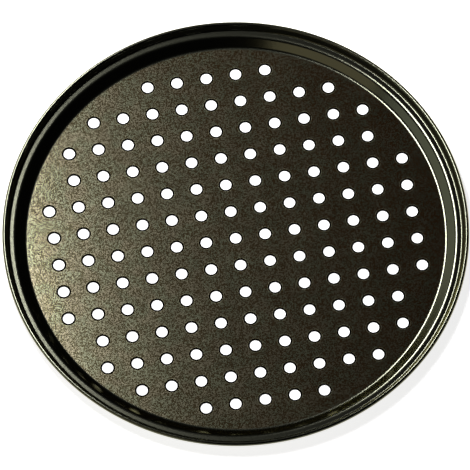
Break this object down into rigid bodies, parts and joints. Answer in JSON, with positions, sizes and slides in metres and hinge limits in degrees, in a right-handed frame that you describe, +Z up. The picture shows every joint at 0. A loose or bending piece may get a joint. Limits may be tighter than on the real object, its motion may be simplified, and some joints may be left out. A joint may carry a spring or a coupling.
{
  "type": "pizza pan",
  "caption": "Round, shallow pizza pan of dark non-stick steel, with a perforated flat floor, a sloping wall, a narrow ledge and a rolled rim over a wire.",
  "frame": {"origin": "centre of the floor's underside, on the table", "axes": "+Z up along the pan's axis, through the open top; the rows of holes run along X and Y"},
  "size_m": [0.3174, 0.3174, 0.0108],
  "materials": {
    "nonstick_coating": "dark grey satin non-stick coating with a fine light fleck",
    "steel_wire": "plain drawn steel wire"
  },
  "bodies": {
    "root": {"pan_sheet": "nonstick_coating", "rim_wire": "steel_wire"}
  },
  "joints": []
}
